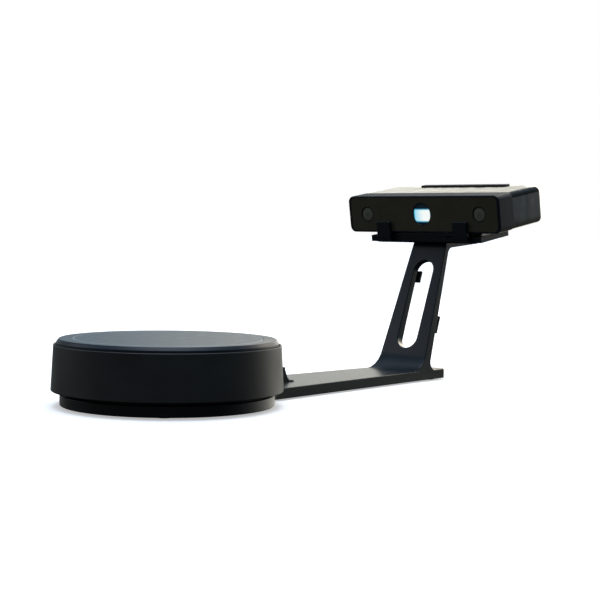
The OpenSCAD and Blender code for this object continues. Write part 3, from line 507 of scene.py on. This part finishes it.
# Coated glass with the lamp's light in it: deep blue round the edge, where only stray light
# comes through, and a glowing window in the middle
lit_glass, tree, shader, spot = new_finish("lit projector lens glass", IOR=1.52, Roughness=0.1)
middle = HEAD @ Vector((0, 0, 0))
moved = add(tree, "ShaderNodeMapping", {"Location": tuple(-middle)}, Vector=spot)
level = add(tree, "ShaderNodeMapping", {"Rotation": (0, tilt, 0)}, Vector=moved.outputs["Vector"])
part = add(tree, "ShaderNodeSeparateXYZ", Vector=level.outputs["Vector"])
mask = None
for output, near, far in (("Y", 0.0124, 0.0086), ("Y", -0.0134, -0.0100), ("Z", 0.0072, 0.0040),
                          ("Z", -0.0098, -0.0064)):
    edge = add(tree, "ShaderNodeMapRange", {"From Min": near, "From Max": far,
                                           "interpolation_type": "SMOOTHSTEP"},
               Value=part.outputs[output])
    if mask is None:
        mask = edge.outputs["Result"]
    else:
        both = add(tree, "ShaderNodeMath", {"operation": "MULTIPLY"})
        tree.links.new(mask, both.inputs[0])
        tree.links.new(edge.outputs["Result"], both.inputs[1])
        mask = both.outputs["Value"]
glow = add(tree, "ShaderNodeValToRGB", {"stops": [(0.0, "#14293a"), (0.3, "#2f86b4"),
                                                  (0.7, "#a4e8f7"), (1.0, "#ffffff")]}, Fac=mask)
across = add(tree, "ShaderNodeMapRange", {"From Min": 0.01, "From Max": -0.002},
             Value=part.outputs["Y"])
colour = add(tree, "ShaderNodeMixRGB", {"Color1": linear("#93def2"), "Color2": linear("#fafffd")},
             Fac=across.outputs["Result"])
glow = add(tree, "ShaderNodeMixRGB", {"blend_type": "MULTIPLY", "Fac": 1.0},
           Color1=glow.outputs["Color"], Color2=colour.outputs["Color"])
power = add(tree, "ShaderNodeMapRange", {"To Min": 0.3, "To Max": 0.95}, Value=mask)
tree.links.new(glow.outputs["Color"], shader.inputs["Emission Color"])
tree.links.new(power.outputs["Result"], shader.inputs["Emission Strength"])
shader.inputs["Base Color"].default_value = linear("#0a1420")
make("projector_glass", lens, lit_glass, "head", ["projector_lens"], HEAD)


# ---- Rear shell ----------------------------------------------------------------------------
# The back of the head is one deep ABS moulding with round rear corners, polished like a
# piano lid. Four screws from below hold it to tabs on the bezel.

shell_w, shell_h, shell_d = 205, 40.3, 86.6
rear = []
for step in (12, 24, 36, 48, 60, 70, 78, 84, 90):
    a = math.radians(step)
    depth = shell_d - 9 + 9 * math.sin(a)
    drop = max(0, depth - (shell_d - 2))
    rear.append((depth, shell_w - 18 * (1 - math.cos(a)),
                 shell_h - 2 * (2 - math.sqrt(4 - drop * drop)), 7 - drop / 2))
shell = skin(bmesh.new(), [(26.1, shell_w - 0.8, shell_h - 0.8, 6.6), (26.5, shell_w, shell_h, 7),
                           (shell_d - 9, shell_w, shell_h, 7)] + rear, caps=(False, True))
inside = skin(bmesh.new(), [(20, 200, 35.3, 4.5), (84, 200, 35.3, 4.5)], caps=(True, True))
bmesh.ops.edgeloop_fill(shell, edges=[e for e in shell.edges if e.is_boundary])
shell = join(shell, inside, "DIFFERENCE")
openings = bmesh.new()
bmesh.ops.create_cube(openings, size=1, matrix=Matrix.Translation((86, 0, 0))
                      @ Matrix.Diagonal((12, 108, 22, 1)))
for y in (-85, -32, 32, 85):
    rod(openings, 3, 6, Matrix.Translation((32, y, -23.2)))
shell = join(shell, openings, "DIFFERENCE")

# High-gloss ABS: jet black and mirror-like, with the slight waviness of a moulding, about
# 12 mm from crest to crest, and hair-fine rub marks
piano_black, tree, shader, spot = new_finish("piano-black ABS", IOR=1.53)
marks = add(tree, "ShaderNodeTexNoise", {"Scale": 1 / 0.015, "Detail": 6, "Roughness": 0.7},
            Vector=spot)
waves = add(tree, "ShaderNodeTexNoise", {"Scale": 1 / 0.012, "Detail": 0}, Vector=spot)
tint = add(tree, "ShaderNodeValToRGB", {"stops": [(0.35, "#070808"), (0.7, "#0b0c0c")]},
           Fac=marks.outputs["Fac"])
polish = add(tree, "ShaderNodeMapRange", {"From Min": 0.4, "From Max": 0.75, "To Min": 0.06,
                                          "To Max": 0.16}, Value=marks.outputs["Fac"])
bumps = add(tree, "ShaderNodeBump", {"Strength": 0.3, "Distance": 0.0005},
            Height=waves.outputs["Fac"])
tree.links.new(tint.outputs["Color"], shader.inputs["Base Color"])
tree.links.new(polish.outputs["Result"], shader.inputs["Roughness"])
tree.links.new(bumps.outputs["Normal"], shader.inputs["Normal"])
make("head_rear_shell", shell, piano_black, "head", ["rear_shell"], HEAD)


# ---- Rear cowl -----------------------------------------------------------------------------
# A matt ABS plate screwed over the back of the shell. Its top folds forward as a raised bar
# over the shell's edge, and its back is cut for the sockets, the button and the fan's vents.

cowl_low, cowl_high, cowl_back, lip_x, lip_low = -14, 21.6, 88.8, 81, 20.2
cowl = prism(bmesh.new(), [(u, -58.5, w) for u, w in (
    (shell_d, cowl_low), (cowl_back, cowl_low), (cowl_back, cowl_high), (lip_x, cowl_high),
    (lip_x, lip_low), (shell_d, lip_low))], (0, 117, 0))
soften(cowl, 0.6, 3, 60, lambda e: all(v.co.z > 21 or v.co.x > 88 for v in e.verts))
holes = bmesh.new()
for y in (34, 47.5):
    bmesh.ops.create_cube(holes, size=1, matrix=Matrix.Translation((84, y, -4.5))
                          @ Matrix.Diagonal((16, 12.4, 11, 1)))
rod(holes, 5.2, 16, Matrix.Translation((76, -24, -4.5)) @ along)
rod(holes, 5.35, 16, Matrix.Translation((76, -42, 0)) @ along)
for w in range(-8, 12, 4):
    bmesh.ops.create_cube(holes, size=1, matrix=Matrix.Translation((84, 0, w))
                          @ Matrix.Diagonal((16, 24, 2, 1)))
cowl = join(cowl, holes, "DIFFERENCE")
soften(cowl, 0.25, 2, 50, lambda e: all(v.co.x > 88.7 for v in e.verts))
make("rear_cowl_plate", cowl, moulded_abs, "head", ["rear_cowl"], HEAD)


# ---- Cradle --------------------------------------------------------------------------------
# A cast plate under the head, screwed to the stand's tongue, with two hooks that stand up in
# front of the panel and keep the head from sliding off, and a low rib between them that
# closes the gap under the head. It is powder coated like the stand.

plate_high, hook_y, hook_w, hook_top = -24.2, 52, 18.5, -7.7
cradle = prism(bmesh.new(), [(2, -75, plate_low), (2, 75, plate_low), (2, 75, plate_high),
                             (2, -75, plate_high)], (56, 0, 0))
soften(cradle, 4, 5, 60, lambda e: e.calc_length() < 8 and e.verts[0].co.x > 50)
for s in (-1, 1):
    hook = prism(bmesh.new(), [(u, s * hook_y - hook_w / 2, w) for u, w in (
        (12, plate_low + 0.01), (2, plate_low + 0.01), (-4.3, plate_low + 4), (-4.3, hook_top),
        (-0.3, hook_top), (-0.3, plate_high - 0.01), (12, plate_high - 0.01))], (0, hook_w, 0))
    soften(hook, 1.6, 4, 60, lambda e: abs(e.verts[0].co.x - e.verts[1].co.x) > 3
           and e.verts[0].co.z > -8)
    cradle = join(cradle, hook, "UNION")
rib_front, rib_top, rib_t = 2, -20.95, 3
rib = prism(bmesh.new(), [(rib_front, -hook_y, plate_high - 1), (rib_front, hook_y, plate_high - 1),
                          (rib_front, hook_y, rib_top), (rib_front, -hook_y, rib_top)], (rib_t, 0, 0))
cradle = join(cradle, rib, "UNION")
bores = bmesh.new()
for y in (-11, 11):
    rod(bores, 2.1, 10, Matrix.Translation((46, y, plate_low - 1)), 32)
cradle = join(cradle, bores, "DIFFERENCE")
soften(cradle, 0.6, 3, 40, lambda e: all(abs(v.co.y) > 20 for v in e.verts))
make("cradle_casting", cradle, powder_coat, "base", ["cradle"], HEAD)


# ---- Small parts of black plastic ----------------------------------------------------------
# The base pan, socket housing, cable clips and button are plain ABS mouldings, pushed or
# screwed into place, with the same spark-eroded skin as the cover.

def dress(names, finish):
    """Gives parts that keep their own shape a better surface."""
    for name in names:
        slots = nodes[name].data.materials
        slots.clear()
        slots.append(finish)


dress(["base_pan", "socket_housing", "upper_cable_clip", "lower_cable_clip", "power_button",
       "fan_frame", "fan_rotor", "button_switch", "projector_housing", "power_inlet"], moulded_abs)


# ---- Rubber feet, pads and glides ----------------------------------------------------------
# Round feet under the tray and the heel, pads that the head rests on, and the glides under
# the platter's rim: natural rubber, dull and slightly dusty.

rubber, tree, shader, spot = new_finish("dull black rubber", IOR=1.52)
dust = add(tree, "ShaderNodeTexNoise", {"Scale": 1 / 0.0015, "Detail": 5, "Roughness": 0.7},
           Vector=spot)
tint = add(tree, "ShaderNodeValToRGB", {"stops": [(0.35, "#131313"), (0.65, "#1d1d1c"),
                                                  (0.85, "#2e2d2b")]}, Fac=dust.outputs["Fac"])
dull = add(tree, "ShaderNodeMapRange", {"To Min": 0.65, "To Max": 0.85}, Value=dust.outputs["Fac"])
bumps = add(tree, "ShaderNodeBump", {"Strength": 0.3, "Distance": 0.00005}, Height=dust.outputs["Fac"])
tree.links.new(tint.outputs["Color"], shader.inputs["Base Color"])
tree.links.new(dull.outputs["Result"], shader.inputs["Roughness"])
tree.links.new(bumps.outputs["Normal"], shader.inputs["Normal"])
dress(["feet", "cradle_pads", "glide_pads"], rubber)


# ---- Screws, spindle and bearings ----------------------------------------------------------
# Turned and ground steel, lightly oiled: the screws are zinc plated, and the bearings run on
# hardened races pressed into the platter's hub.

bright_steel, tree, shader, spot = new_finish("zinc-plated steel", Metallic=1.0)
stain = add(tree, "ShaderNodeTexNoise", {"Scale": 1 / 0.004, "Detail": 4}, Vector=spot)
tint = add(tree, "ShaderNodeValToRGB", {"stops": [(0.3, "#8f9294"), (0.7, "#b5b8ba")]},
           Fac=stain.outputs["Fac"])
satin = add(tree, "ShaderNodeMapRange", {"To Min": 0.22, "To Max": 0.4}, Value=stain.outputs["Fac"])
tree.links.new(tint.outputs["Color"], shader.inputs["Base Color"])
tree.links.new(satin.outputs["Result"], shader.inputs["Roughness"])
dress(["spindle", "bearing_inner_races", "bearing_outer_races", "bearing_balls", "retaining_ring",
       "motor_shaft", "button_spring"], bright_steel)

# Dull nickel on the sockets' pressed sleeves, grey and slightly stained
dull_nickel, tree, shader, spot = new_finish("dull nickel plate", Metallic=1.0)
stain = add(tree, "ShaderNodeTexNoise", {"Scale": 1 / 0.003, "Detail": 4}, Vector=spot)
tint = add(tree, "ShaderNodeValToRGB", {"stops": [(0.3, "#4b4a47"), (0.7, "#64625e")]},
           Fac=stain.outputs["Fac"])
satin = add(tree, "ShaderNodeMapRange", {"To Min": 0.35, "To Max": 0.5}, Value=stain.outputs["Fac"])
tree.links.new(tint.outputs["Color"], shader.inputs["Base Color"])
tree.links.new(satin.outputs["Result"], shader.inputs["Roughness"])
dress(["data_socket", "link_socket", "turntable_socket"], dull_nickel)

# Blackened screws: a thin oxide skin on steel, dark and slightly oily
black_screw, tree, shader, spot = new_finish("black oxide steel", Metallic=1.0)
stain = add(tree, "ShaderNodeTexNoise", {"Scale": 1 / 0.002, "Detail": 4}, Vector=spot)
tint = add(tree, "ShaderNodeValToRGB", {"stops": [(0.3, "#232425"), (0.7, "#343638")]},
           Fac=stain.outputs["Fac"])
satin = add(tree, "ShaderNodeMapRange", {"To Min": 0.3, "To Max": 0.45}, Value=stain.outputs["Fac"])
tree.links.new(tint.outputs["Color"], shader.inputs["Base Color"])
tree.links.new(satin.outputs["Result"], shader.inputs["Roughness"])
dress(["tray_screws", "cover_screws", "gear_screws", "motor_screws", "board_screws", "clip_screws",
       "cradle_screws", "head_screws", "cowl_screws", "optics_screws"], black_screw)


# ---- Gear train and motor ------------------------------------------------------------------
# An acetal ring gear under the platter, turned by a brass pinion on a small stepper motor
# that hangs from the deck.

acetal, tree, shader, spot = new_finish("white acetal", IOR=1.48, Roughness=0.38)
cloud = add(tree, "ShaderNodeTexNoise", {"Scale": 1 / 0.01, "Detail": 3}, Vector=spot)
tint = add(tree, "ShaderNodeValToRGB", {"stops": [(0.3, "#ddd9cd"), (0.7, "#ebe8df")]},
           Fac=cloud.outputs["Fac"])
tree.links.new(tint.outputs["Color"], shader.inputs["Base Color"])
dress(["drive_gear"], acetal)

turned_brass, tree, shader, spot = new_finish("turned brass", Metallic=1.0)
stain = add(tree, "ShaderNodeTexNoise", {"Scale": 1 / 0.003, "Detail": 4}, Vector=spot)
tint = add(tree, "ShaderNodeValToRGB", {"stops": [(0.3, "#a8843f"), (0.7, "#c9a65a")]},
           Fac=stain.outputs["Fac"])
satin = add(tree, "ShaderNodeMapRange", {"To Min": 0.2, "To Max": 0.35}, Value=stain.outputs["Fac"])
tree.links.new(tint.outputs["Color"], shader.inputs["Base Color"])
tree.links.new(satin.outputs["Result"], shader.inputs["Roughness"])
dress(["pinion"], turned_brass)
dress(["motor_body"], black_anodised)


# ---- Boards, lamp and cooling --------------------------------------------------------------
# Circuit boards with a green solder mask, and a die-cast frame, sink and lamp of bare
# aluminium inside the head.

solder_mask, tree, shader, spot = new_finish("green solder mask", IOR=1.55, Roughness=0.3)
tracks = add(tree, "ShaderNodeTexBrick", {"Scale": 1 / 0.008, "Mortar Size": 0.03,
                                          "Color1": linear("#15472c"), "Color2": linear("#1a5233"),
                                          "Mortar": linear("#2c6f47")}, Vector=spot)
tree.links.new(tracks.outputs["Color"], shader.inputs["Base Color"])
dress(["turntable_board", "left_camera_board", "right_camera_board", "main_board"], solder_mask)

bare_aluminium, tree, shader, spot = new_finish("die-cast aluminium", Metallic=1.0)
grain = add(tree, "ShaderNodeTexNoise", {"Scale": 1 / 0.001, "Detail": 4}, Vector=spot)
tint = add(tree, "ShaderNodeValToRGB", {"stops": [(0.3, "#85888b"), (0.7, "#a3a6a9")]},
           Fac=grain.outputs["Fac"])
satin = add(tree, "ShaderNodeMapRange", {"To Min": 0.35, "To Max": 0.55}, Value=grain.outputs["Fac"])
tree.links.new(tint.outputs["Color"], shader.inputs["Base Color"])
tree.links.new(satin.outputs["Result"], shader.inputs["Roughness"])
dress(["optics_frame", "heat_sink", "light_source"], bare_aluminium)


# ---- Studio --------------------------------------------------------------------------------
# A wide pale floor under a soft overhead light, in a room that is bright behind the object
# and to its right, and dim where the camera stands.

floor_shape = bmesh.new()
bmesh.ops.create_grid(floor_shape, x_segments=1, y_segments=1, size=30)
floor_mesh = bpy.data.meshes.new("floor")
floor_shape.to_mesh(floor_mesh)
floor_shape.free()
floor = bpy.data.objects.new("floor", floor_mesh)
bpy.context.scene.collection.objects.link(floor)
paper, tree, shader, spot = new_finish("matt white studio paper", Roughness=0.9)
shader.inputs["Base Color"].default_value = linear("#fbfbfb")
shader.inputs["Specular IOR Level"].default_value = 0
floor_mesh.materials.append(paper)
shader.inputs["Emission Color"].default_value = linear("#ffffff")
shader.inputs["Emission Strength"].default_value = 0.45
floor.visible_glossy = False
floor.visible_diffuse = False

yaw, pitch, roll = math.radians(41.894), math.radians(2.869), math.radians(0.811)
ahead = Vector((math.cos(pitch) * math.cos(yaw), math.cos(pitch) * math.sin(yaw), -math.sin(pitch)))
right = Vector((math.sin(yaw), -math.cos(yaw), 0))
up = right.cross(ahead)
level_right = math.cos(roll) * right + math.sin(roll) * up
level_up = math.cos(roll) * up - math.sin(roll) * right
camera = bpy.data.objects.new("camera", bpy.data.cameras.new("camera"))
camera.data.lens = 84.81
camera.data.sensor_width = 36
camera.data.clip_start, camera.data.clip_end = 0.05, 200
turn = Matrix((level_right, level_up, -ahead)).transposed().to_4x4()
camera.matrix_world = Matrix.Translation((-1.0503, -0.94, 0.1615)) @ turn
bpy.context.scene.collection.objects.link(camera)
bpy.context.scene.camera = camera

room = bpy.data.worlds.new("studio room")
room.use_nodes = True
tree = room.node_tree
tree.nodes.clear()
way = add(tree, "ShaderNodeTexCoord").outputs["Generated"]
glow_from = Vector((math.cos(yaw - 0.6), math.sin(yaw - 0.6), 0.1)).normalized()
facing = add(tree, "ShaderNodeVectorMath", {"operation": "DOT_PRODUCT"})
facing.inputs[1].default_value = glow_from
tree.links.new(way, facing.inputs[0])
fall = add(tree, "ShaderNodeMapRange", {"From Min": -1, "From Max": 1, "To Min": 0, "To Max": 1},
           Value=facing.outputs["Value"])
wall = add(tree, "ShaderNodeValToRGB", {"stops": [(0.0, "#343535"), (0.5, "#353737"),
                                                  (0.68, "#5c615e"), (0.8, "#6c7880"),
                                                  (0.866, "#93a6b2"), (0.9, "#e6e8e2"),
                                                  (0.93, "#fffdf2"), (1.0, "#fffdf7")]},
           Fac=fall.outputs["Result"])
height = add(tree, "ShaderNodeSeparateXYZ", Vector=way)
level = add(tree, "ShaderNodeMapRange", {"From Min": -0.5, "From Max": 0.5},
            Value=height.outputs["Z"])
band = add(tree, "ShaderNodeValToRGB", {"stops": [(0.1, "#3c3c3a"), (0.4, "#c8c8c4"), (0.49, "#c8c8c4"),
                                                  (0.51, "#ffffff"), (0.6, "#ffffff"),
                                                  (0.78, "#888886")]}, Fac=level.outputs["Result"])
walls = add(tree, "ShaderNodeMixRGB", {"blend_type": "MULTIPLY", "Fac": 1.0},
            Color1=wall.outputs["Color"], Color2=band.outputs["Color"])
upward = add(tree, "ShaderNodeMapRange", {"From Min": 0.35, "From Max": 0.75},
             Value=height.outputs["Z"])
around = add(tree, "ShaderNodeMixRGB", {"Color2": linear("#465462")}, Fac=upward.outputs["Result"],
             Color1=walls.outputs["Color"])
side_wall = add(tree, "ShaderNodeVectorMath", {"operation": "DOT_PRODUCT"})
side_wall.inputs[1].default_value = (math.cos(yaw - 1.6), math.sin(yaw - 1.6), 0)
tree.links.new(way, side_wall.inputs[0])
strength = add(tree, "ShaderNodeMapRange", {"From Min": 0.45, "From Max": 0.9, "To Min": 3.0,
                                            "To Max": 0.9}, Value=side_wall.outputs["Value"])
lit = add(tree, "ShaderNodeBackground", Color=around.outputs["Color"],
          Strength=strength.outputs["Result"])
plain = add(tree, "ShaderNodeBackground", {"Color": linear("#ffffff"), "Strength": 1.0})
seen = add(tree, "ShaderNodeLightPath")
either = add(tree, "ShaderNodeMixShader", Fac=seen.outputs["Is Camera Ray"])
tree.links.new(lit.outputs["Background"], either.inputs[1])
tree.links.new(plain.outputs["Background"], either.inputs[2])
add(tree, "ShaderNodeOutputWorld", Surface=either.outputs["Shader"])
bpy.context.scene.world = room

sky = bpy.data.objects.new("overhead", bpy.data.lights.new("overhead", "SUN"))
sky.data.energy, sky.data.angle = 2.0, math.radians(50)
sky.data.color = linear("#ebf2ff")[:3]
bpy.context.scene.collection.objects.link(sky)
for name, place, target, size, power, colour in (
        ("behind the head", (1.9, 0.3, 0.9), (-0.1, 0, 0.08), 1.0, 14, "#fff1dc"),
        ("low behind the turntable", (0.75, 0.0, 0.3), (-0.12, -0.05, 0.04), 0.45, 1.0, "#fff6e8"),
        ("far left", (-0.9, 1.3, 0.6), (-0.2, 0, 0.05), 0.8, 2, "#f4f8ff")):
    lamp = bpy.data.lights.new(name, "AREA")
    lamp.shape, lamp.size, lamp.energy = "DISK", size, power
    lamp.color = linear(colour)[:3]
    holder = bpy.data.objects.new(name, lamp)
    aim = (Vector(target) - Vector(place)).to_track_quat("-Z", "Y")
    holder.matrix_world = Matrix.Translation(place) @ aim.to_matrix().to_4x4()
    holder.visible_camera = False
    bpy.context.scene.collection.objects.link(holder)

bpy.context.scene.view_settings.view_transform = "Standard"
